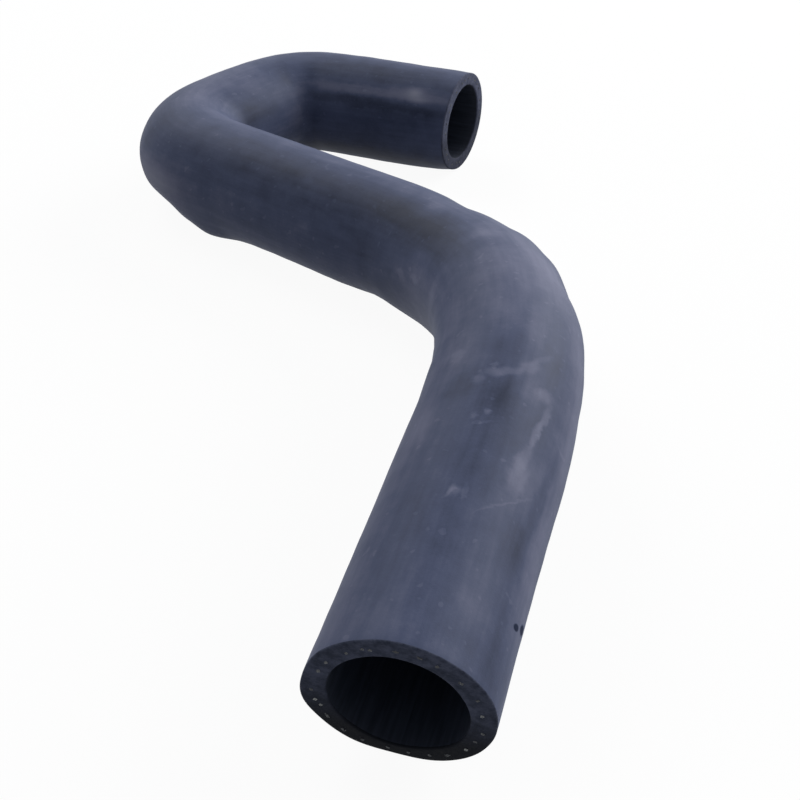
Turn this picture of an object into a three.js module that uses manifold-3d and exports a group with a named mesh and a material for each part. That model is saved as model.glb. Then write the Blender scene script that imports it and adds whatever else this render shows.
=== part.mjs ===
// A moulded rubber hose, open at both ends, with four bends set into it when it was vulcanised.
// Millimetres, +Z up. The hose lies on the surface z = 0, with the middle of its footprint at the origin.
// Its near mouth faces -Y, and its far mouth faces +X.

import * as THREE from "three";
import { mergeVertices } from "three/addons/utils/BufferGeometryUtils.js";
import Module from "manifold-3d";

// Section of the hose
const bore = 32;
const wall = 5.5;

// Straight lengths, from the near mouth to the far mouth
const mouthLength = 87;
const archLength = 2;
const backLength = 84;
const turnLength = 32;
const endLength = 62;

// Heading of each straight, seen from above, in degrees from +X towards +Y
const mouthHeading = 90;
const archHeading = 120.5;
const backHeading = 157.5;
const turnHeading = 70.5;
const endHeading = -3;

// Climb of each straight above the level, in degrees
const mouthClimb = 7.6;
const archClimb = -12.3;
const backClimb = 0;
const turnClimb = 0;
const endClimb = 0;

// Radius of each bend, measured on its inner side
const archInsideRadius = 113.5;
const kneeInsideRadius = 78.5;
const turnInsideRadius = 9.5;
const returnInsideRadius = 4.5;

// How far each hand-made cut is from square, in degrees: sideways, and leaning up or down
const nearCutSideways = -2.5;
const nearCutUpwards = -1.5;
const farCutSideways = 6.5;
const farCutUpwards = -1;

// Fineness of the facets
const sectionSides = 28;
const straightStep = 20;
const bendStepDegrees = 6.5;

const up = new THREE.Vector3(0, 0, 1);
const outsideRadius = bore / 2 + wall;
// Length of hose that is moulded beyond each cut, and then cut away
const waste = outsideRadius;

const radians = THREE.MathUtils.degToRad;

function direction(headingDegrees, climbDegrees) {
  const heading = radians(headingDegrees);
  const climb = radians(climbDegrees);
  return new THREE.Vector3(
    Math.cos(heading) * Math.cos(climb),
    Math.sin(heading) * Math.cos(climb),
    Math.sin(climb),
  );
}

// A circular bend that leaves its start along one direction and ends along another.
class Bend extends THREE.Curve {
  constructor(start, before, after, radius) {
    super();
    this.start = start;
    this.before = before;
    this.radius = radius;
    this.angle = before.angleTo(after);
    this.inward = after.clone().addScaledVector(before, -before.dot(after)).normalize();
  }

  getPoint(t, target = new THREE.Vector3()) {
    const turned = t * this.angle;
    return target
      .copy(this.start)
      .addScaledVector(this.before, this.radius * Math.sin(turned))
      .addScaledVector(this.inward, this.radius * (1 - Math.cos(turned)));
  }

  getTangent(t, target = new THREE.Vector3()) {
    const turned = t * this.angle;
    return target
      .copy(this.before)
      .multiplyScalar(Math.cos(turned))
      .addScaledVector(this.inward, Math.sin(turned));
  }
}

// Straights and bends in turn. Each takes its share of t by its number of steps, so that
// the facets are close together in the bends and far apart along the straights.
class CentreLine extends THREE.Curve {
  constructor() {
    super();
    this.stretches = [];
    this.steps = 0;
  }

  add(curve, steps) {
    this.stretches.push({ curve, steps, first: this.steps });
    this.steps += steps;
  }

  locate(t) {
    const step = t * this.steps;
    const stretch = this.stretches.findLast((candidate) => candidate.first <= step);
    return [stretch.curve, Math.min((step - stretch.first) / stretch.steps, 1)];
  }

  getPoint(t, target) {
    const [curve, along] = this.locate(t);
    return curve.getPoint(along, target);
  }

  getTangent(t, target) {
    const [curve, along] = this.locate(t);
    return curve.getTangent(along, target);
  }

  getUtoTmapping(u) {
    return u;
  }
}

const straights = [
  { length: mouthLength, direction: direction(mouthHeading, mouthClimb) },
  { length: archLength, direction: direction(archHeading, archClimb) },
  { length: backLength, direction: direction(backHeading, backClimb) },
  { length: turnLength, direction: direction(turnHeading, turnClimb) },
  { length: endLength, direction: direction(endHeading, endClimb) },
];

const insideRadii = [archInsideRadius, kneeInsideRadius, turnInsideRadius, returnInsideRadius];

const nearEnd = new THREE.Vector3();
const nearOutward = straights.at(0).direction.clone().negate();
const farOutward = straights.at(-1).direction;

// The centre line starts and ends a little beyond the cuts, and the far cut's place is returned with it.
function routeHose() {
  const line = new CentreLine();
  const place = nearEnd.clone().addScaledVector(nearOutward, waste);
  const farEnd = new THREE.Vector3();

  straights.forEach((straight, index) => {
    const isFirst = index === 0;
    const isLast = index === straights.length - 1;
    const length = straight.length + (isFirst ? waste : 0) + (isLast ? waste : 0);
    const end = place.clone().addScaledVector(straight.direction, length);
    line.add(new THREE.LineCurve3(place.clone(), end), Math.ceil(length / straightStep));
    place.copy(end);

    if (isLast) {
      farEnd.copy(end).addScaledVector(farOutward, -waste);
      return;
    }
    const next = straights[index + 1];
    const radius = insideRadii[index] + outsideRadius;
    const bend = new Bend(place.clone(), straight.direction, next.direction, radius);
    line.add(bend, Math.ceil(bend.angle / radians(bendStepDegrees)));
    bend.getPoint(1, place);
  });

  return { line, farEnd };
}

// The ring-shaped section: the outside of the hose with the bore as its hole.
function ringSection() {
  const section = new THREE.Shape();
  section.absarc(0, 0, outsideRadius, 0, 2 * Math.PI);
  const hole = new THREE.Path();
  hole.absarc(0, 0, bore / 2, 0, 2 * Math.PI, true);
  section.holes.push(hole);
  return section;
}

// The outward face of a cut that turns sideways and upwards from square.
function cutNormal(outward, sidewaysDegrees, upwardsDegrees) {
  const sideways = outward.clone().cross(up).normalize();
  const upwards = sideways.clone().cross(outward);
  return outward
    .clone()
    .addScaledVector(sideways, Math.tan(radians(sidewaysDegrees)))
    .addScaledVector(upwards, Math.tan(radians(upwardsDegrees)))
    .normalize();
}

// The block that a cut takes away: its lower face lies on the cut.
function wasteBlock(place, normal) {
  const width = 4 * outsideRadius;
  const depth = 3 * waste;
  const block = new THREE.BoxGeometry(width, width, depth);
  block.translate(0, 0, depth / 2);
  block.applyQuaternion(new THREE.Quaternion().setFromUnitVectors(up, normal));
  block.translate(place.x, place.y, place.z);
  return block;
}

const wasm = await Module();
wasm.setup();

function toSolid(geometry) {
  const bare = geometry.clone();
  bare.deleteAttribute("normal");
  bare.deleteAttribute("uv");
  const merged = mergeVertices(bare);
  return new wasm.Manifold(
    new wasm.Mesh({
      numProp: 3,
      vertProperties: new Float32Array(merged.attributes.position.array),
      triVerts: new Uint32Array(merged.index.array),
    }),
  );
}

function toGeometry(solid) {
  const mesh = solid.getMesh();
  const geometry = new THREE.BufferGeometry();
  geometry.setAttribute("position", new THREE.BufferAttribute(new Float32Array(mesh.vertProperties), 3));
  geometry.setIndex(new THREE.BufferAttribute(new Uint32Array(mesh.triVerts), 1));
  geometry.computeVertexNormals();
  return geometry;
}

function makeHose() {
  const { line, farEnd } = routeHose();
  const moulded = new THREE.ExtrudeGeometry(ringSection(), {
    steps: line.steps,
    curveSegments: sectionSides / 2,
    extrudePath: line,
  });
  const nearBlock = wasteBlock(nearEnd, cutNormal(nearOutward, nearCutSideways, nearCutUpwards));
  const farBlock = wasteBlock(farEnd, cutNormal(farOutward, farCutSideways, farCutUpwards));
  const cut = toSolid(moulded).subtract(toSolid(nearBlock)).subtract(toSolid(farBlock));
  return toGeometry(cut);
}

const rubber = new THREE.MeshStandardMaterial({ color: 0x2e323c, roughness: 0.8, metalness: 0 });

const hose = new THREE.Mesh(makeHose(), rubber);
hose.name = "hose";

// Lays the hose on z = 0 with the middle of its footprint at the origin.
hose.geometry.computeBoundingBox();
const footprint = hose.geometry.boundingBox;
const middle = footprint.getCenter(new THREE.Vector3());
hose.position.set(-middle.x, -middle.y, -footprint.min.z);

const part = new THREE.Group();
part.add(hose);

export default part;
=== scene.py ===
import bpy
import numpy as np
from mathutils import Matrix, Vector


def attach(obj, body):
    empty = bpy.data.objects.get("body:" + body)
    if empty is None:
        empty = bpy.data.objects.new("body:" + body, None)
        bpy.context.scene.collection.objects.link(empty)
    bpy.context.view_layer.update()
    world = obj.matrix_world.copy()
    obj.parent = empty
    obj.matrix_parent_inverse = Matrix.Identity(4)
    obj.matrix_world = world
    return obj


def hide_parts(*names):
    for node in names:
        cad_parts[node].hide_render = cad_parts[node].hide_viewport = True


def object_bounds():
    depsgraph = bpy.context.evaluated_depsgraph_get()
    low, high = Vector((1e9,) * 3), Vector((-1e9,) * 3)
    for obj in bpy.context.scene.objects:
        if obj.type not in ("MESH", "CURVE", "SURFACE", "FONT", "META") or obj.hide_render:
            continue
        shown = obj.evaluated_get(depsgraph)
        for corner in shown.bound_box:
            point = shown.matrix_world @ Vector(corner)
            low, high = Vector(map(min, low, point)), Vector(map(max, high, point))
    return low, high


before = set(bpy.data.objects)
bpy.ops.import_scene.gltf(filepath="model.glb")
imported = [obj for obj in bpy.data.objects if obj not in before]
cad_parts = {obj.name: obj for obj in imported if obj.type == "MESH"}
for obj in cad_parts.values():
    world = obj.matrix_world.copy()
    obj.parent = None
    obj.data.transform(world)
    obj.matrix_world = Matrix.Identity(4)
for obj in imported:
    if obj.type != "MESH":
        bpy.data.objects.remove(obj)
cad_low, cad_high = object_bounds()
MM = 0.001


# The camera.
# It stands about 27 cm from the near mouth and looks down along the hose, which is why the near
# mouth looks more than twice as wide as the far one.
CAMERA_PLACE = np.array([134.5, -346.9, 222.1]) * MM
CAMERA_TURN_LEFT = 16.27
CAMERA_TILT_DOWN = 34.17
CAMERA_ROLL = 0.90
FOCAL_LENGTH_IN_IMAGE_WIDTHS = 1.531
SENSOR_WIDTH_MM = 36.0
CLIP_START = 10.0 * MM


def make_camera():
    """Forward is +Y turned left and tilted down, right is level, and both are then rolled."""
    turn, tilt, roll = np.radians([CAMERA_TURN_LEFT, CAMERA_TILT_DOWN, CAMERA_ROLL])
    forward = np.array([-np.sin(turn) * np.cos(tilt), np.cos(turn) * np.cos(tilt), -np.sin(tilt)])
    level = np.array([np.cos(turn), np.sin(turn), 0.0])
    right = np.cos(roll) * level + np.sin(roll) * np.cross(level, forward)
    above = np.cross(right, forward)
    data = bpy.data.cameras.new("camera")
    data.sensor_width = SENSOR_WIDTH_MM
    data.lens = FOCAL_LENGTH_IN_IMAGE_WIDTHS * SENSOR_WIDTH_MM
    data.clip_start = CLIP_START
    camera = bpy.data.objects.new("camera", data)
    bpy.context.scene.collection.objects.link(camera)
    turned = Matrix(np.column_stack([right, above, -forward]).tolist()).to_4x4()
    camera.matrix_world = Matrix.Translation(CAMERA_PLACE.tolist()) @ turned
    bpy.context.scene.camera = camera


make_camera()


# The hose: skin, cut faces and bore.
# One length of textile-reinforced black rubber hose, cured on a bent steel mandrel: five straights
# joined by four round bends. It was drawn off the mandrel by hand, so that it swells and dips a
# little, and its near mouth has sprung out of round and has a flat on its underside.
BORE = 32.0 * MM
WALL = 5.5 * MM
OUTSIDE_RADIUS = BORE / 2 + WALL
# Length, heading from +X towards +Y and climb of each straight, from the near mouth on
STRAIGHTS = (
    (87.0 * MM, 90.0, 7.6),
    (2.0 * MM, 120.5, -12.3),
    (84.0 * MM, 157.5, 0.0),
    (32.0 * MM, 70.5, 0.0),
    (62.0 * MM, -3.0, 0.0),
)
# Radius on the inner side of each bend
INSIDE_RADII = (113.5 * MM, 78.5 * MM, 9.5 * MM, 4.5 * MM)
# How far each cut is from square, in degrees
NEAR_CUT_SIDEWAYS, NEAR_CUT_UPWARDS = -2.5, -1.5
FAR_CUT_SIDEWAYS, FAR_CUT_UPWARDS = 6.5, -1.0
# Spacing of the mesh's rings along the skin and the bore, and the number of points around each
SKIN_STEP = 1.25 * MM
BORE_STEP = 3.2 * MM
SIDES_AROUND = 128
# Radius and fineness of the rounding at a cut's rims, and of the flat face between them
LIP = 0.5 * MM
LIP_STEPS = 5
FACE_STEPS = 5
# Height, wavelength and seed of the slow and the fine waviness of the skin
SLOW_WAVES = (0.09 * MM, 70 * MM, 3)
FINE_WAVES = (0.025 * MM, 9 * MM, 4)
WAVE_COUNT = 24
WAVELENGTH_SPREAD = (0.7, 1.5)
# Height, place along and angle around of each swell, and its half-length and half-angle, in mm and
# degrees. Angles around count from the hose's right-hand side, seen from its near mouth, by its top.
SKIN_SWELLS = (
    (-1.55, 0, -95, 12, 24),
    (1.10, 0, -168, 12, 17),
    (0.35, 0, -35, 12, 25),
    (0.40, 0, 86, 12, 22),
    (0.20, 74, -7, 14, 30),
    (-0.42, 98, -3, 10, 26),
    (0.36, 99, 166, 9, 26),
    (0.36, 127, 13, 8, 22),
    (-0.38, 150, -165, 26, 34),
    (-0.55, 143, 26, 6, 20),
    (0.55, 157, 37, 5, 16),
    (0.66, 170, 49, 7, 18),
    (-0.90, 207, 57, 10, 26),
    (-1.00, 229, -128, 12, 28),
    (-0.22, 278, -126, 20, 25),
    (2.50, 315, -128, 11, 21),
    (-1.90, 336, -142, 6, 16),
    (0.40, 347, 174, 7, 24),
    (0.38, 385, 116, 15, 30),
    (-0.25, 411, 112, 6, 26),
    (0.45, 452, 110, 22, 30),
    (0.50, 474, -66, 22, 15),
    (-0.55, 500, -66, 4, 24),
    (-0.28, 500, 108, 5, 28),
)
BORE_SWELLS = (
    (0.40, 0, 90, 14, 30),
    (-0.45, 0, 22, 14, 24),
    (0.65, 0, -42, 14, 24),
    (0.30, 0, -95, 14, 28),
)
SKIN_FINISH, CUT_FINISH, BORE_FINISH = range(3)


def bearing(heading, climb):
    """The unit vector with this heading and climb, in degrees."""
    heading, climb = np.radians([heading, climb])
    return np.array([np.cos(heading) * np.cos(climb), np.sin(heading) * np.cos(climb), np.sin(climb)])


def lay_out_route():
    """Straights and arcs in turn, each as (length, start, direction, inward direction, radius).

    The inward direction points from the hose to the middle of its bend, and is zero on a straight.
    """
    stretches = []
    place = np.zeros(3)
    bearings = [bearing(heading, climb) for _, heading, climb in STRAIGHTS]
    for index, (length, _, _) in enumerate(STRAIGHTS):
        ahead = bearings[index]
        stretches.append((length, place, ahead, np.zeros(3), np.inf))
        place = place + length * ahead
        if index < len(INSIDE_RADII):
            after = bearings[index + 1]
            radius = INSIDE_RADII[index] + OUTSIDE_RADIUS
            angle = np.arccos(ahead @ after)
            inward = after - (ahead @ after) * ahead
            inward /= np.linalg.norm(inward)
            stretches.append((radius * angle, place, ahead, inward, radius))
            place = place + radius * (np.sin(angle) * ahead + (1 - np.cos(angle)) * inward)
    return stretches


ROUTE = lay_out_route()
HOSE_LENGTH = sum(stretch[0] for stretch in ROUTE)


def centre_line(along):
    """Places and directions at these distances along the hose's middle.

    On a straight the place is start + distance * direction. On a bend of radius r it is
    start + r * (sin(t) * direction + (1 - cos(t)) * inward) with t = distance / r.
    """
    places = np.zeros(along.shape + (3,))
    directions = np.zeros(along.shape + (3,))
    begins = 0.0
    for number, (length, start, ahead, inward, radius) in enumerate(ROUTE):
        from_here = -np.inf if number == 0 else begins
        to_there = np.inf if number == len(ROUTE) - 1 else begins + length
        here = (along >= from_here) & (along < to_there)
        run = (along[here] - begins)[:, None]
        if np.isinf(radius):
            places[here] = start + run * ahead
            directions[here] = ahead
        else:
            t = run / radius
            places[here] = start + radius * (np.sin(t) * ahead + (1 - np.cos(t)) * inward)
            directions[here] = np.cos(t) * ahead + np.sin(t) * inward
        begins += length
    return places, directions


def outward_at(directions, around):
    """The direction out of the hose at an angle: cos(angle) * rightwards + sin(angle) * upwards."""
    rightwards = np.cross(directions, [0.0, 0.0, 1.0])
    rightwards /= np.linalg.norm(rightwards, axis=-1, keepdims=True)
    upwards = np.cross(rightwards, directions)
    return np.cos(around)[..., None] * rightwards + np.sin(around)[..., None] * upwards


def on_hose(along, around, radius):
    """The point at a distance along the hose, an angle around it and a radius from its middle."""
    places, directions = centre_line(along)
    return places + radius[..., None] * outward_at(directions, around)


def cut_lead(end_direction, sideways, upwards, around, radius):
    """How far along end_direction an oblique cut lies past a square one: -radius * (outward . slope)."""
    rightwards = np.cross(end_direction, [0.0, 0.0, 1.0])
    rightwards /= np.linalg.norm(rightwards)
    above = np.cross(rightwards, end_direction)
    slope = np.tan(np.radians(sideways)) * rightwards + np.tan(np.radians(upwards)) * above
    ring = outward_at(np.broadcast_to(end_direction, around.shape + (3,)), around)
    return -radius * (ring @ slope)


def slide_to_cuts(along, around, radius):
    """Slides stations along the end straights, so that the first and last lie on the oblique cuts."""
    near_fade = np.clip(1 - along / STRAIGHTS[0][0], 0, 1)
    far_fade = np.clip(1 - (HOSE_LENGTH - along) / STRAIGHTS[-1][0], 0, 1)
    near_lead = cut_lead(-ROUTE[0][2], NEAR_CUT_SIDEWAYS, NEAR_CUT_UPWARDS, np.pi - around, radius)
    far_lead = cut_lead(ROUTE[-1][2], FAR_CUT_SIDEWAYS, FAR_CUT_UPWARDS, around, radius)
    return along - near_fade * near_lead + far_fade * far_lead


def soft_hills(hills, along, around):
    """Sum of soft round hills: height * exp(-(run / half-length)^2 - (turn / half-angle)^2)."""
    total = np.zeros(along.shape)
    for height, place, angle, half_length, half_angle in hills:
        run = along / MM - place
        turn = (np.degrees(around) - angle + 180) % 360 - 180
        total += height * np.exp(-((run / half_length) ** 2) - (turn / half_angle) ** 2)
    return total


def waves(points, height, wavelength, seed):
    """Smooth random waviness of about this height: a sum of sine waves in seeded directions."""
    random = np.random.default_rng(seed)
    across = random.normal(size=(WAVE_COUNT, 3))
    across /= np.linalg.norm(across, axis=1, keepdims=True)
    pitch = 2 * np.pi / (wavelength * random.uniform(*WAVELENGTH_SPREAD, WAVE_COUNT))
    phase = random.uniform(0, 2 * np.pi, WAVE_COUNT)
    total = np.zeros(points.shape[:-1])
    for direction, number, shift in zip(across, pitch, phase):
        total += np.sin(points @ direction * number + shift)
    return height * (total / np.sqrt(WAVE_COUNT / 2))


def wall_swell(along, around, radius):
    """How far the wall stands out from plain round: the skin's swells, fading into the bore's."""
    plain = on_hose(along, around, radius)
    skin = soft_hills(SKIN_SWELLS, along, around) * MM
    skin += waves(plain, *SLOW_WAVES) + waves(plain, *FINE_WAVES)
    bore = soft_hills(BORE_SWELLS, along, around) * MM
    share = np.clip((radius - BORE / 2) / WALL, 0, 1)
    return share * skin + (1 - share) * bore


def wall_points(along, around, radius):
    """The place on the route plus (radius + swell) in the outward direction."""
    swollen = radius + wall_swell(along, around, radius)
    return on_hose(slide_to_cuts(along, around, radius), around, swollen)


def section_profile():
    """One closed line from near mouth to far mouth outside, over the far cut, and back through the bore.

    Returns the distance along, the radius, and whether each point is on the skin, a cut or the bore.
    """
    lip_angles = np.linspace(0, np.pi / 2, LIP_STEPS + 1)[1:-1]
    lip_back = LIP * (1 - np.sin(lip_angles))
    lip_in = LIP * (1 - np.cos(lip_angles))
    skin = np.linspace(LIP, HOSE_LENGTH - LIP, round(HOSE_LENGTH / SKIN_STEP))
    bore = np.linspace(HOSE_LENGTH - LIP, LIP, round(HOSE_LENGTH / BORE_STEP))
    face = np.linspace(OUTSIDE_RADIUS - LIP, BORE / 2 + LIP, FACE_STEPS + 1)
    far_cut = [HOSE_LENGTH - lip_back, np.full(face.shape, HOSE_LENGTH), HOSE_LENGTH - lip_back[::-1]]
    near_cut = [lip_back, np.zeros(face.shape), lip_back[::-1]]
    cut_in = [OUTSIDE_RADIUS - lip_in, face, BORE / 2 + lip_in[::-1]]
    cut_out = [part[::-1] for part in cut_in[::-1]]
    along = np.concatenate([skin, *far_cut, bore, *near_cut])
    outside = np.full(skin.shape, OUTSIDE_RADIUS)
    inside = np.full(bore.shape, BORE / 2)
    radius = np.concatenate([outside, *cut_in, inside, *cut_out])
    cut_points = 2 * len(lip_in) + len(face)
    lengths = [len(skin), cut_points, len(bore), cut_points]
    parts = np.repeat([SKIN_FINISH, CUT_FINISH, BORE_FINISH, CUT_FINISH], lengths)
    return along, radius, parts


def join_grid(rows, columns):
    """Four-cornered faces of a grid that closes on itself both ways."""
    row = np.arange(rows)[:, None]
    column = np.arange(columns)[None, :]
    next_row = (row + 1) % rows
    next_column = (column + 1) % columns
    corners = [row * columns + column, row * columns + next_column]
    corners += [next_row * columns + next_column, next_row * columns + column]
    return np.stack(corners, axis=-1).reshape(-1, 4)


def add_piece(name, points, faces):
    mesh = bpy.data.meshes.new(name)
    mesh.from_pydata(points.reshape(-1, 3).tolist(), [], faces.tolist())
    mesh.polygons.foreach_set("use_smooth", np.ones(len(faces), bool))
    piece = bpy.data.objects.new(name, mesh)
    bpy.context.scene.collection.objects.link(piece)
    return piece


profile_along, profile_radius, profile_parts = section_profile()
around_line = np.linspace(-np.pi / 2, 1.5 * np.pi, SIDES_AROUND, endpoint=False)
grid_along, grid_around = np.meshgrid(profile_along, around_line, indexing="ij")
grid_radius = np.repeat(profile_radius[:, None], SIDES_AROUND, axis=1)
hose_points = wall_points(grid_along, grid_around, grid_radius)
hose_low = hose_points.min((0, 1))
hose_high = hose_points.max((0, 1))
# From the route's own origin to the hose's place in the frame, with its lowest point on the floor
hose_place = (np.array(cad_low) + np.array(cad_high) - hose_low - hose_high) / 2
hose_place[2] = cad_low[2] - hose_low[2]
hose_skin = add_piece("hose_skin", hose_points + hose_place, join_grid(*grid_along.shape))

# A face beside a cut's rim has the cut's finish
face_parts = np.where(np.roll(profile_parts, -1) == CUT_FINISH, CUT_FINISH, profile_parts)
hose_skin.data.polygons.foreach_set("material_index", np.repeat(face_parts, SIDES_AROUND))

# The unrolled skin in metres: along the hose, and around it from its underside
next_along = np.roll(grid_along, -1, axis=0)
corner_along = np.stack([grid_along, grid_along, next_along, next_along], axis=-1)
turned = grid_around - around_line[0]
next_turned = turned + 2 * np.pi / SIDES_AROUND
corner_around = OUTSIDE_RADIUS * np.stack([turned, next_turned, next_turned, turned], axis=-1)
unrolled = hose_skin.data.uv_layers.new(name="unrolled")
unrolled.data.foreach_set("uv", np.stack([corner_along, corner_around], axis=-1).ravel())


# Places of the colour sockets of a Mix node, whose other kinds of socket have the same names
MIX_START, MIX_END, MIX_RESULT = 6, 7, 2


class Finish:
    """The shader nodes of a material or of the world."""

    def __init__(self, block):
        block.use_nodes = True
        self.block = block
        self.tree = block.node_tree

    def feed(self, socket, value):
        if isinstance(value, Reading):
            self.tree.links.new(value.output, socket)
        else:
            socket.default_value = value

    def node(self, kind, settings=None, sockets=None, output=0):
        """Adds a node of this kind. Its settings are set first, then its sockets' values or links."""
        made = self.tree.nodes.new("ShaderNode" + kind)
        for name, value in (settings or {}).items():
            if name == "stops":
                self.set_stops(made.color_ramp.elements, value)
            else:
                setattr(made, name, value)
        for name, value in (sockets or {}).items():
            self.feed(made.inputs[name], value)
        return Reading(self, made.outputs[output])

    def set_stops(self, elements, stops):
        """Gives a new ramp these stops. It comes with two."""
        for place, _ in stops[2:]:
            elements.new(place)
        for element, (place, colour) in zip(elements, stops):
            element.position = place
            element.color = colour

    def surface(self, **sockets):
        """Sets or links these sockets of the Principled shader, named with _ for each space."""
        shader = self.tree.nodes["Principled BSDF"]
        for name, value in sockets.items():
            self.feed(shader.inputs[name.replace("_", " ")], value)
        return Reading(self, shader.outputs[0])


class Reading:
    """A value that varies over a surface. Arithmetic on it adds Math nodes."""

    def __init__(self, finish, output):
        self.finish = finish
        self.output = output

    def math(self, operation, *others):
        return self.finish.node("Math", {"operation": operation}, dict(enumerate((self, *others))))

    def __add__(self, other):
        return self.math("ADD", other)

    __radd__ = __add__

    def __mul__(self, other):
        return self.math("MULTIPLY", other)

    __rmul__ = __mul__

    def __sub__(self, other):
        return self.math("SUBTRACT", other)

    def __rsub__(self, other):
        return self.finish.node("Math", {"operation": "SUBTRACT"}, {0: other, 1: self})

    def within(self, low, high, most=1.0):
        """0 at low, most at high, and smooth between them."""
        sockets = {"Value": self, "From Min": low, "From Max": high, "To Max": most}
        return self.finish.node("MapRange", {"interpolation_type": "SMOOTHSTEP"}, sockets)

    def vector(self, operation, *others, output=0):
        settings = {"operation": operation}
        return self.finish.node("VectorMath", settings, dict(enumerate((self, *others))), output)

    def noise(self, size, detail=3.0, roughness=0.5, output=0):
        """Soft noise with blotches of about this size in metres, centred on 0.5."""
        sockets = {"Vector": self, "Scale": 1 / size, "Detail": detail, "Roughness": roughness}
        return self.finish.node("TexNoise", {}, sockets, output)

    def blend(self, start, end):
        """The colour start where this is 0, and end where it is 1."""
        sockets = {"Factor": self, MIX_START: start, MIX_END: end}
        return self.finish.node("Mix", {"data_type": "RGBA"}, sockets, MIX_RESULT)

    def bump(self, height):
        """The normal of a surface that is raised by this reading times a height in metres."""
        return self.finish.node("Bump", {}, {"Height": self, "Distance": height})


# Colour of the cover with no bloom, with the bloom that most of it has, with a thick one and with a
# caked one, at these shares of the thickest bloom
THICKEST_BLOOM = 2.0
BLOOM_COLOURS = (
    (0.00, (0.012, 0.0180, 0.042, 1.0)),
    (0.25, (0.059, 0.0730, 0.132, 1.0)),
    (0.50, (0.142, 0.1520, 0.225, 1.0)),
    (1.00, (0.270, 0.2800, 0.355, 1.0)),
)
# Strength, place along and angle around of each broad patch in the bloom, and its half-length and
# half-angle, in mm and degrees, where a negative strength is a darker place. Some on the far leg are
# painted shade and a painted highlight.
BLOOM_AND_PAINTED_LIGHT_PATCHES = (
    (-0.08, 8, 80, 10, 24),
    (0.16, 17, 139, 9, 11),
    (0.16, 15.5, 55, 4.5, 13),
    (0.10, 28, 60, 18, 18),
    (-0.28, 36, 40, 7.5, 9),
    (0.34, 40, 16, 18, 13),
    (-0.12, 45, 112, 8, 8),
    (0.24, 55, 144, 60, 24),
    (0.22, 56, 44, 7, 9),
    (-0.20, 60, 76, 22, 15),
    (0.24, 69, 129, 6, 9),
    (-0.34, 79, 80, 8, 9.5),
    (0.32, 84, 13, 28, 13),
    (0.26, 85, 63, 5.5, 9),
    (-0.24, 98, 88, 7, 13),
    (-0.24, 98, 50, 6, 9.5),
    (0.20, 108, 68, 10, 9),
    (0.38, 114, 29, 17, 12),
    (0.38, 140, 50, 14, 14),
    (0.24, 148, 90, 28, 32),
    (0.30, 153, 163, 5, 12),
    (0.20, 163, 62, 32, 17),
    (0.26, 165, 95, 4.5, 15),
    (0.18, 178, 160, 26, 16),
    (-0.42, 180, 127, 24, 23),
    (0.10, 185, 176, 11, 9),
    (0.20, 206, 99, 3.5, 13),
    (-0.42, 218, 122, 30, 22),
    (0.14, 215, 86, 44, 17),
    (-0.16, 224, 162, 13, 14),
    (0.12, 284, 170, 4.5, 9),
    (-0.23, 283, 131, 42, 28),
    (0.18, 320, 176, 8, 14),
    (1.10, 335, 184, 9, 23),
    (-0.12, 340, 150, 9, 17),
    (0.26, 364, 78, 30, 28),
    (-0.37, 378, 28, 13, 18),
    (0.24, 406, 9, 7, 13),
    (-0.20, 407, 50, 5.5, 14),
    (0.26, 414, 33, 11, 8),
    (-0.21, 450, 69, 48, 19),
    # Painted shade: the next two patches darken the far leg's lower side towards the camera, and the
    # third its underside
    (-0.25, 450, 4, 40, 24),
    (-0.20, 485, 20, 24, 9),
    (-0.60, 458, -40, 55, 18),
    # Partly a pale smudge and partly a painted highlight: the next three patches, near the far mouth
    (0.48, 482, 43, 21, 8),
    (1.05, 484, 47, 3.6, 5.5),
    (0.60, 486.5, 39, 4.5, 3),
)
# Strength, place along, angle around, half-length, half-width and slant of each crisp mark, likewise
BLOOM_AND_PAINTED_LIGHT_MARKS = (
    (-0.12, 14, 31, 12, 1.6, 4),
    (0.28, 44, 91, 1.8, 0.7, -30),
    (0.34, 45, 88, 1.7, 1.5, 0),
    (0.20, 45, 82, 2.6, 0.5, 6),
    (0.18, 47.5, 54.5, 9.2, 0.35, -45),
    (-0.20, 54, 31, 17, 2, -4),
    (0.40, 56.5, 53.5, 5.4, 2.8, 0),
    (0.32, 63.5, 53, 5.5, 1.7, -8),
    (0.16, 69, 84, 2.6, 0.4, -60),
    (0.24, 70.5, 93, 1.4, 0.8, 0),
    (0.34, 72.5, 85.5, 1.1, 0.9, 0),
    (0.45, 72.5, 50, 4.6, 1.1, -6),
    (0.38, 79.5, 47, 5, 1.1, -8),
    (-0.26, 81, 111, 5, 4.2, -10),
    (0.26, 84, 100, 2, 1.5, 0),
    (0.44, 86.3, 53, 2.3, 2.8, 15),
    (0.28, 87.3, 91, 1.6, 2.4, 0),
    (0.30, 89, 82, 1.5, 3.5, 20),
    (0.24, 90.5, 92, 0.8, 0.9, 0),
    (0.30, 92.5, 69, 2.2, 3.4, 30),
    (0.22, 94.5, 123, 3.8, 1.7, 0),
    (0.18, 97, 62, 5, 1, -45),
    (-0.14, 106, 59, 6, 1.8, 0),
    (0.28, 180, 167, 5, 1.3, -3),
    (0.26, 195, 170.5, 5, 1.4, -3),
    (0.12, 258, 165, 3, 2, 0),
    (0.16, 264, 122, 2, 2, 0),
    (0.16, 297, 117, 2.6, 1.6, 0),
    # Painted highlight and painted shade: a pale line along the far leg just above where its side turns
    # dark, and a dark line below it
    (0.24, 458, 42, 30, 2.2, 0),
    (-0.26, 462, 28, 42, 2.2, 0),
)
# Place along, angle around, half-length, half-width and slant of two small pits beside the near mouth
PITS = ((21.7, 16, 1.9, 1.0, -60), (24.6, 4, 2.5, 1.4, -60))
# Where a mark or a pit begins and where it is full, as shares of its oval
MARK_EDGE = (1.5, 0.4)
PIT_EDGE = (1.1, 0.5)
# Size and reach of the raggedness of the marks' edges
RAGGED_SIZE = 4 * MM
RAGGED_REACH = 3.5 * MM
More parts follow.
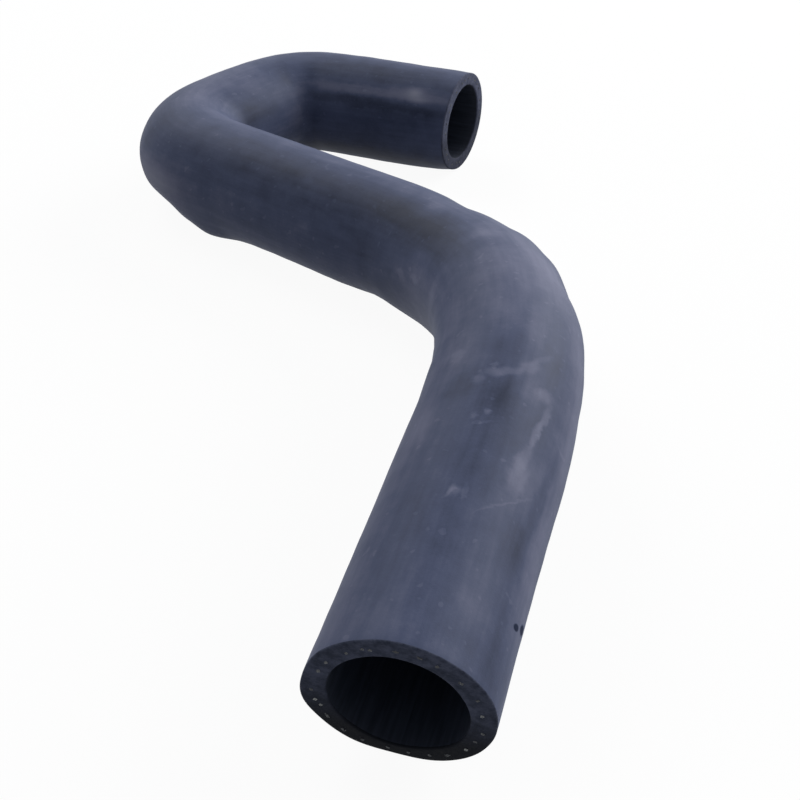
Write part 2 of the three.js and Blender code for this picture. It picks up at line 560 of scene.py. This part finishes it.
# Sizes in each layer of the bloom and of the relief, and how the streaks are drawn out lengthwise
CLOUD_SIZE = 46 * MM
BLOTCH_SIZE = 11 * MM
STREAK_WIDTH = 3.2 * MM
STREAK_STRETCH = (0.11, 1.0, 1.0)
SPECKLE_SIZE = 0.9 * MM
GRAIN_SIZE = 0.28 * MM
DUST_SPACING = 2.3 * MM
DUST_LEVELS = (0.75, 0.82)
# How much of the bloom handling has worn off all over
BLOOM_WORN_OFF = 0.30
COVER_RELIEF = 0.03 * MM


# The broad patches as a value at each point, their painted shade and painted highlight included
bloom_and_light_patch_layer = hose_skin.data.attributes.new("bloom_patches", "FLOAT", "POINT")
bloom_and_light_patch_layer.data.foreach_set("value", soft_hills(BLOOM_AND_PAINTED_LIGHT_PATCHES, grid_along, grid_around).ravel())


def oval_distance(skin, along, angle, half_length, half_width, slant):
    """How far a point of the unrolled skin is from an oval's middle, where 1 is the oval's edge."""
    middle = (along * MM, np.radians(angle + 90) * OUTSIDE_RADIUS, 0)
    size = (half_length * MM, half_width * MM, 1)
    rotation = (0, 0, np.radians(slant))
    sockets = {"Vector": skin, "Location": middle, "Rotation": rotation, "Scale": size}
    placed = skin.finish.node("Mapping", {"vector_type": "TEXTURE"}, sockets)
    return placed.vector("LENGTH", output="Value")


def cover_rubber():
    """The bloom is clouds, blotches, streaks along the hose, broad and crisp spots, and is dusty. On the
    far leg some spots are painted shade and painted highlight.
    """
    finish = Finish(bpy.data.materials.new("cover_rubber"))
    where = finish.node("TexCoord", output="Object")
    skin = finish.node("UVMap", {"uv_map": "unrolled"})
    wander = skin.noise(RAGGED_SIZE, detail=3.0, roughness=0.6, output="Color")
    shove = wander.vector("SUBTRACT", (0.5, 0.5, 0.5))
    ragged = shove.vector("MULTIPLY_ADD", (RAGGED_REACH, RAGGED_REACH, 0), skin)
    marks_and_painted_light = finish.node("Attribute", {"attribute_name": "bloom_patches"}, output="Fac")
    for strength, *oval in BLOOM_AND_PAINTED_LIGHT_MARKS:
        marks_and_painted_light = oval_distance(ragged, *oval).within(*MARK_EDGE, strength) + marks_and_painted_light
    pits = 0.0
    for oval in PITS:
        pits = oval_distance(skin, *oval).within(*PIT_EDGE) + pits
    clouds = where.noise(CLOUD_SIZE, detail=2.0, roughness=0.5)
    blotches = where.noise(BLOTCH_SIZE, detail=4.0, roughness=0.62)
    drawn_out = skin.vector("MULTIPLY", STREAK_STRETCH)
    streaks = drawn_out.noise(STREAK_WIDTH, detail=3.0, roughness=0.6)
    speckle = where.noise(SPECKLE_SIZE, detail=2.0, roughness=0.7)
    grain = where.noise(GRAIN_SIZE, detail=2.0, roughness=0.6)
    mottle = 0.40 * clouds + 0.60 * blotches + 0.45 * streaks + 0.15 * speckle
    dust = where.noise(DUST_SPACING, detail=0.0, roughness=0.5).within(*DUST_LEVELS)
    # The bloom here also holds the painted shade and painted highlights on the far leg
    bloom = mottle - BLOOM_WORN_OFF + marks_and_painted_light + 0.15 * dust - pits
    colour = finish.node("ValToRGB", {"stops": BLOOM_COLOURS}, {"Fac": 1 / THICKEST_BLOOM * bloom})
    relief = 0.5 * grain + 0.8 * speckle + 1.5 * blotches + 0.8 * streaks - 3.0 * pits
    roughness = 0.50 + 0.10 * bloom + 0.10 * speckle + 0.50 * pits
    finish.surface(Base_Color=colour, Roughness=roughness, Normal=relief.bump(COVER_RELIEF))
    finish.surface(Specular_IOR_Level=0.16)
    return finish.block


# The colours of the near cut, of the painted shade on the lower side of both cuts, and of the far cut,
# which is painted paler than the near one as painted light, and the least share of the far cut that
# the painted shade leaves unshaded
CUT_DARK = (0.026, 0.032, 0.052, 1.0)
CUT_PALE = (0.078, 0.088, 0.132, 1.0)
CUT_PAINTED_SHADE = (0.004, 0.005, 0.008, 1.0)
FAR_CUT_PAINTED_LIT_DARK = (0.052, 0.059, 0.094, 1.0)
FAR_CUT_PAINTED_LIT_PALE = (0.098, 0.107, 0.160, 1.0)
FAR_CUT_LEAST_UNSHADED = 0.5
# Height above the floor at which the painted shade on the lower side of a cut is darkest, and where it
# ends
PAINTED_SHADE_HEIGHTS = (8.0 * MM, 27.0 * MM)
# Sizes of the knife's smears and of its fine ripples, which lie level
SMEAR_SIZE = 2.4 * MM
RIPPLE_SIZE = 0.9 * MM
RIPPLE_SQUEEZE = (1.0, 1.0, 3.0)
CUT_MOTTLE_LEVELS = (0.34, 0.66)
CUT_RELIEF = 0.10 * MM


def cut_rubber():
    """The knife has left matt rubber, with fine ripples and smears.

    The near cut is fresh. The far one is painted paler, as painted light. Both are painted darker
    towards their lower side, as painted shade, the far one half as much.
    """
    finish = Finish(bpy.data.materials.new("cut_rubber"))
    where = finish.node("TexCoord", output="Object")
    smears = where.noise(SMEAR_SIZE, detail=4.0, roughness=0.6)
    squeezed = where.vector("MULTIPLY", RIPPLE_SQUEEZE)
    ripples = squeezed.noise(RIPPLE_SIZE, detail=3.0, roughness=0.6)
    mottle = (0.7 * smears + 0.3 * ripples).within(*CUT_MOTTLE_LEVELS)
    skin = finish.node("UVMap", {"uv_map": "unrolled"})
    along = skin.vector("DOT_PRODUCT", (1, 0, 0), output="Value")
    is_far = along.math("GREATER_THAN", HOSE_LENGTH / 2)
    near_rubber = mottle.blend(CUT_DARK, CUT_PALE)
    # Painted light: the far cut has the near cut's rubber in paler colours
    far_rubber_painted_lit = mottle.blend(FAR_CUT_PAINTED_LIT_DARK, FAR_CUT_PAINTED_LIT_PALE)
    rubber = is_far.blend(near_rubber, far_rubber_painted_lit)
    height = where.vector("DOT_PRODUCT", (0, 0, 1), output="Value")
    # Painted shade: each cut is darker towards the bottom, the far one at most half as dark
    unshaded_share = height.within(*PAINTED_SHADE_HEIGHTS).math("MAXIMUM", FAR_CUT_LEAST_UNSHADED * is_far)
    colour = unshaded_share.blend(CUT_PAINTED_SHADE, rubber)
    relief = 0.6 * smears + ripples
    roughness = 0.62 + 0.2 * ripples
    finish.surface(Base_Color=colour, Roughness=roughness, Normal=relief.bump(CUT_RELIEF))
    finish.surface(Specular_IOR_Level=0.07)
    return finish.block


# Colours of the lining, and width, drawing-out and relief of the lines along it
LINING_DARK = (0.007, 0.010, 0.018, 1.0)
LINING_PALE = (0.018, 0.023, 0.038, 1.0)
LINE_WIDTH = 2.0 * MM
LINE_STRETCH = (0.1, 1.0, 1.0)
LINING_RELIEF = 0.03 * MM


def lining_rubber():
    """The mandrel has left the lining smooth, with faint lines along the hose."""
    finish = Finish(bpy.data.materials.new("lining_rubber"))
    skin = finish.node("UVMap", {"uv_map": "unrolled"})
    lines = skin.vector("MULTIPLY", LINE_STRETCH).noise(LINE_WIDTH, detail=3.0, roughness=0.6)
    colour = lines.within(0.3, 0.7).blend(LINING_DARK, LINING_PALE)
    roughness = 0.5 + 0.2 * lines
    finish.surface(Base_Color=colour, Roughness=roughness, Normal=lines.bump(LINING_RELIEF))
    finish.surface(Specular_IOR_Level=0.2)
    return finish.block


for rubber in (cover_rubber(), cut_rubber(), lining_rubber()):
    hose_skin.data.materials.append(rubber)
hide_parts("hose")
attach(hose_skin, "root")


# The yarn ends in both cuts.
# Pale polyester yarn is wound in spirals at the middle of the wall, and each end that the knife cut
# shows as a small tuft of stiff fibres, some of them smeared over by the rubber.
# Angle around, width of the tuft in mm and paleness of each end in the near cut
NEAR_YARNS = (
    (6, 0.8, 0.75), (23, 0.7, 0.30), (42, 1.3, 0.35), (62, 0.8, 0.28), (74, 1.5, 0.18), (89, 1.4, 0.20),
    (106, 0.8, 0.40), (111, 0.8, 0.42), (124, 0.7, 0.38), (145, 0.9, 0.50), (158, 0.9, 0.50),
    (182, 0.7, 0.30), (193, 0.7, 0.90), (199, 0.7, 0.75), (211, 1.6, 0.35), (228, 1.2, 0.28),
    (243, 0.9, 0.28), (261, 0.9, 0.28), (276, 0.8, 0.28), (291, 0.8, 0.28), (304, 1.5, 0.25),
    (321, 0.8, 1.00), (334, 0.6, 0.25), (346, 0.9, 0.40),
)
# Number of ends in the far cut, and how far they stray in degrees, their widths and paleness
FAR_YARN_COUNT = 24
FAR_YARN_STRAY = 5
FAR_YARN_WIDTHS = (0.6, 1.4)
FAR_YARN_PALENESS = (0.15, 0.4)
YARN_RADIUS = BORE / 2 + 0.5 * WALL
YARN_WANDER = 0.25 * MM
FIBRES_IN_END = 26
FIBRE_RADIUS = 0.1 * MM
TUFT_DEPTH = 0.36 * MM
FIBRE_STAND = 0.14 * MM
FIBRE_SINK = 0.25 * MM
FIBRE_SIDES = 7
FIBRE_LEAN = 0.35
# Least and most of a fibre's radius, stand and paleness, as shares of the plain ones
RADIUS_SPREAD = (0.7, 1.3)
STAND_SPREAD = (0.5, 1.6)
PALENESS_SPREAD = (0.6, 1.15)
# A direction that no fibre points in
ASKEW = (0.31, 0.52, 0.79)
SMEARED_FIBRE = (0.035, 0.038, 0.048, 1)
CLEAN_FIBRE = (0.52, 0.53, 0.52, 1)
CLEAN_PALENESS = 1.25
# Distance from the face and radius along one fibre stub, as shares of its stand and its radius
FIBRE_PROFILE = ((-1.0, 0.9), (0.55, 1.0), (0.9, 0.75), (1.0, 0.35))


def tuft_fibres(random, along, yarns, outward):
    """Places, axes, radii and stands of fibre stubs in an oval round each yarn's place."""
    angles, widths, _ = np.array(yarns).T
    shape = (len(yarns), FIBRES_IN_END)
    share = np.sqrt(random.uniform(0, 1, shape))
    turn = random.uniform(0, 2 * np.pi, shape)
    around = np.radians(angles)[:, None] + share * np.cos(turn) * widths[:, None] * MM / 2 / YARN_RADIUS
    wander = random.normal(0, YARN_WANDER, len(yarns))[:, None]
    radius = YARN_RADIUS + TUFT_DEPTH * share * np.sin(turn) + wander
    place = wall_points(np.full(shape, along), around, radius) + hose_place
    lean = random.normal(0, FIBRE_LEAN, shape + (3,))
    axis = outward + lean
    axis /= np.linalg.norm(axis, axis=-1, keepdims=True)
    thickness = FIBRE_RADIUS * random.uniform(*RADIUS_SPREAD, shape)
    stand = FIBRE_STAND * random.uniform(*STAND_SPREAD, shape)
    return place.reshape(-1, 3), axis.reshape(-1, 3), thickness.ravel(), stand.ravel()


def stub_points(place, axis, thickness, stand):
    """Rings at place + axis * height + ring * radius, closed by a point at both ends."""
    across = np.cross(axis, ASKEW)
    across /= np.linalg.norm(across, axis=-1, keepdims=True)
    other = np.cross(axis, across)
    turn = np.linspace(0, 2 * np.pi, FIBRE_SIDES, endpoint=False)
    cosine, sine = np.cos(turn)[None, :, None], np.sin(turn)[None, :, None]
    ring = cosine * across[:, None] + sine * other[:, None]
    height, width = np.array(FIBRE_PROFILE).T
    lift = np.where(height[None, :] < 0, height * FIBRE_SINK, height * stand[:, None])
    rings = place[:, None, None] + axis[:, None, None] * lift[:, :, None, None]
    rings = rings + ring[:, None] * (width * thickness[:, None])[:, :, None, None]
    ends = place[:, None] + axis[:, None] * lift[:, [0, -1], None]
    return np.concatenate([rings.reshape(len(place), -1, 3), ends], axis=1)


def stub_faces():
    """Triangles of one stub: its rings joined in turn, and a fan at both ends."""
    rings = len(FIBRE_PROFILE)
    side = np.arange(FIBRE_SIDES)
    after = (side + 1) % FIBRE_SIDES
    faces = []
    for ring in range(rings - 1):
        low, high = ring * FIBRE_SIDES, (ring + 1) * FIBRE_SIDES
        faces.append(np.stack([low + side, low + after, high + after], axis=1))
        faces.append(np.stack([low + side, high + after, high + side], axis=1))
    bottom = np.full(FIBRE_SIDES, rings * FIBRE_SIDES)
    top = bottom + 1
    last = (rings - 1) * FIBRE_SIDES
    faces.append(np.stack([bottom, after, side], axis=1))
    faces.append(np.stack([top, last + side, last + after], axis=1))
    return np.concatenate(faces)


def add_yarn_ends(name, along, yarns, outward, seed):
    random = np.random.default_rng(seed)
    points = stub_points(*tuft_fibres(random, along, yarns, outward))
    first = np.arange(len(points)) * points.shape[1]
    piece = add_piece(name, points, (stub_faces()[None] + first[:, None, None]).reshape(-1, 3))
    paleness = np.repeat([paleness for _, _, paleness in yarns], FIBRES_IN_END)
    paleness = paleness * random.uniform(*PALENESS_SPREAD, len(paleness))
    worn = piece.data.attributes.new("paleness", "FLOAT", "POINT")
    worn.data.foreach_set("value", np.repeat(paleness, points.shape[1]))
    piece.data.materials.append(yarn_finish)
    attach(piece, "root")


def yarn_fibre():
    """Grey-white fibre, which is darker where rubber has been smeared over it."""
    finish = Finish(bpy.data.materials.new("yarn_fibre"))
    paleness = finish.node("Attribute", {"attribute_name": "paleness"}, output="Fac")
    colour = paleness.within(0.0, CLEAN_PALENESS).blend(SMEARED_FIBRE, CLEAN_FIBRE)
    finish.surface(Base_Color=colour, Roughness=0.6)
    return finish.block


yarn_finish = yarn_fibre()
far_random = np.random.default_rng(21)
far_stray = far_random.uniform(-FAR_YARN_STRAY, FAR_YARN_STRAY, FAR_YARN_COUNT)
far_angles = np.arange(FAR_YARN_COUNT) * 360 / FAR_YARN_COUNT + far_stray
far_widths = far_random.uniform(*FAR_YARN_WIDTHS, FAR_YARN_COUNT)
far_paleness = far_random.uniform(*FAR_YARN_PALENESS, FAR_YARN_COUNT)
far_yarns = list(zip(far_angles, far_widths, far_paleness))
add_yarn_ends("near_yarn_ends", 0.0, NEAR_YARNS, -ROUTE[0][2], seed=11)
add_yarn_ends("far_yarn_ends", HOSE_LENGTH, far_yarns, ROUTE[-1][2], seed=12)


# The floor, the world and the lamps.
# A white sweep in even light: a wide soft box behind the hose on its right, a smaller and higher one
# on its left, and pale walls all round.
# Half the floor's width, and how far it lies under the hose
FLOOR_HALF = 3.0
FLOOR_DROP = 0.3 * MM
# The floor as the hose is lit by it, as it is seen, and how much of the latter is its own glow
FLOOR_GREY = (0.38, 0.38, 0.39, 1)
FLOOR_WHITE = (0.95, 0.95, 0.95, 1)
FLOOR_GLOW_SHARE = 0.94
SKY = (0.92, 0.95, 1.0, 1)
SKY_STRENGTH = 0.31
WHITE = (1, 1, 1, 1)


def seen_directly(finish):
    """1 where the camera, a reflection or a view through something clear meets the surface."""
    camera, glossy, clear = [
        finish.node("LightPath", output=name)
        for name in ("Is Camera Ray", "Is Glossy Ray", "Is Transmission Ray")
    ]
    return camera.math("MAXIMUM", glossy).math("MAXIMUM", clear)


def make_floor():
    square = np.array([(-1, -1, 0), (1, -1, 0), (1, 1, 0), (-1, 1, 0)])
    corners = FLOOR_HALF * square - [0, 0, FLOOR_DROP]
    floor = add_piece("floor", corners, np.array([(0, 1, 2, 3)]))
    finish = Finish(bpy.data.materials.new("white_floor"))
    seen = seen_directly(finish)
    paint = finish.surface(Base_Color=seen.blend(FLOOR_GREY, FLOOR_WHITE), Roughness=0.9)
    glow = finish.node("Emission", {}, {"Color": WHITE, "Strength": 1.0})
    mixed = finish.node("MixShader", {}, {0: FLOOR_GLOW_SHARE * seen, 1: paint, 2: glow})
    finish.feed(finish.tree.nodes["Material Output"].inputs[0], mixed)
    floor.data.materials.append(finish.block)


def make_world():
    world = bpy.data.worlds.new("studio")
    finish = Finish(world)
    sky = finish.node("Background", {}, {"Color": SKY, "Strength": SKY_STRENGTH})
    white = finish.node("Background", {}, {"Color": WHITE, "Strength": 1.0})
    mixed = finish.node("MixShader", {}, {0: seen_directly(finish), 1: sky, 2: white})
    finish.feed(finish.tree.nodes["World Output"].inputs[0], mixed)
    bpy.context.scene.world = world


def add_soft_box(name, heading, climb, distance, width, height, power):
    """A flat lamp that faces the middle of the frame, from this heading and climb in degrees."""
    place = Vector(bearing(heading, climb)) * distance
    data = bpy.data.lights.new(name, "AREA")
    data.shape = "RECTANGLE"
    data.size = width
    data.size_y = height
    data.energy = power
    lamp = bpy.data.objects.new(name, data)
    bpy.context.scene.collection.objects.link(lamp)
    facing = place.to_track_quat("Z", "Y").to_matrix().to_4x4()
    lamp.matrix_world = Matrix.Translation(place) @ facing


make_floor()
make_world()
add_soft_box("right_box", heading=50, climb=27, distance=3.2, width=2.7, height=1.6, power=95.0)
add_soft_box("left_box", heading=142, climb=45, distance=3.2, width=1.9, height=1.45, power=39.0)

bpy.context.scene.view_settings.view_transform = "Standard"
